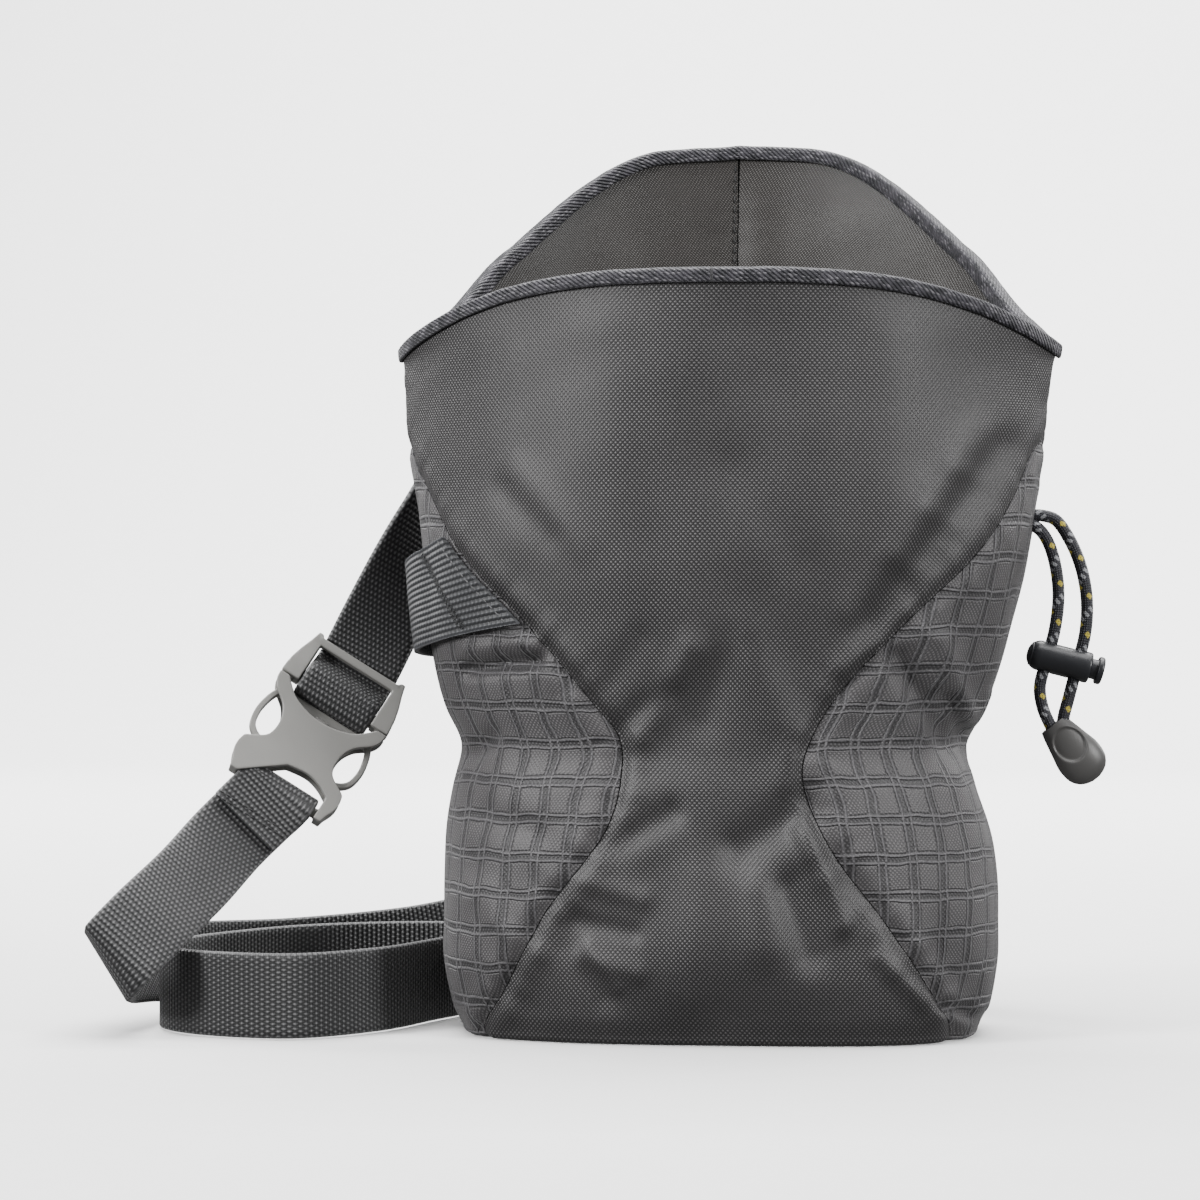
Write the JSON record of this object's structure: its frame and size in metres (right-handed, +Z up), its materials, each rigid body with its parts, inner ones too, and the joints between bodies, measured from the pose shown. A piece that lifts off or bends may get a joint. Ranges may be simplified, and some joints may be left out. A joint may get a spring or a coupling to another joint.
{
  "type": "climbing chalk bag",
  "caption": "Soft chalk bag with a wide pointed mouth, hourglass front, ripstop sides, webbing waist belt with side-release buckle, brush loop and drawcord with cord lock.",
  "frame": {"origin": "middle of the flat base, on the surface that the bag stands on", "axes": "+Z up, -Y out of the front of the bag, +X toward the side with the drawcord"},
  "size_m": [0.2416, 0.1172, 0.2173],
  "materials": {
    "front_cloth": "dull close weave",
    "back_cloth": "dull close weave",
    "ripstop": "dull weave with a raised grid",
    "facing_cloth": "smooth fine weave",
    "binding_tape": "mottled tape",
    "webbing": "ribbed webbing",
    "buckle_nylon": "satin moulded",
    "cord_braid": "braided with flecks",
    "lock_nylon": "satin moulded",
    "end_rubber": "soft satin"
  },
  "bodies": {
    "bag": {"front_panel": "front_cloth", "back_panel": "back_cloth", "side_panel_left": "ripstop", "side_panel_right": "ripstop", "base_panel": "front_cloth", "mouth_facing": "facing_cloth", "rim_binding": "binding_tape", "brush_loop": "webbing", "belt_loop": "webbing", "waist_belt": "webbing", "buckle_socket": "buckle_nylon", "buckle_plug": "buckle_nylon", "drawcord_outer": "cord_braid", "drawcord_inner": "cord_braid", "cord_lock": "lock_nylon", "cord_end": "end_rubber"},
    "button": {"lock_button": "lock_nylon"}
  },
  "joints": [
    {"name": "button_press", "type": "slide", "parent": "bag", "child": "button", "axis": [-0.9635, -0.1005, 0.2483], "range_m": [0, 0.0013], "stiffness_N_per_m": 400, "springref_m": -0.002}
  ]
}
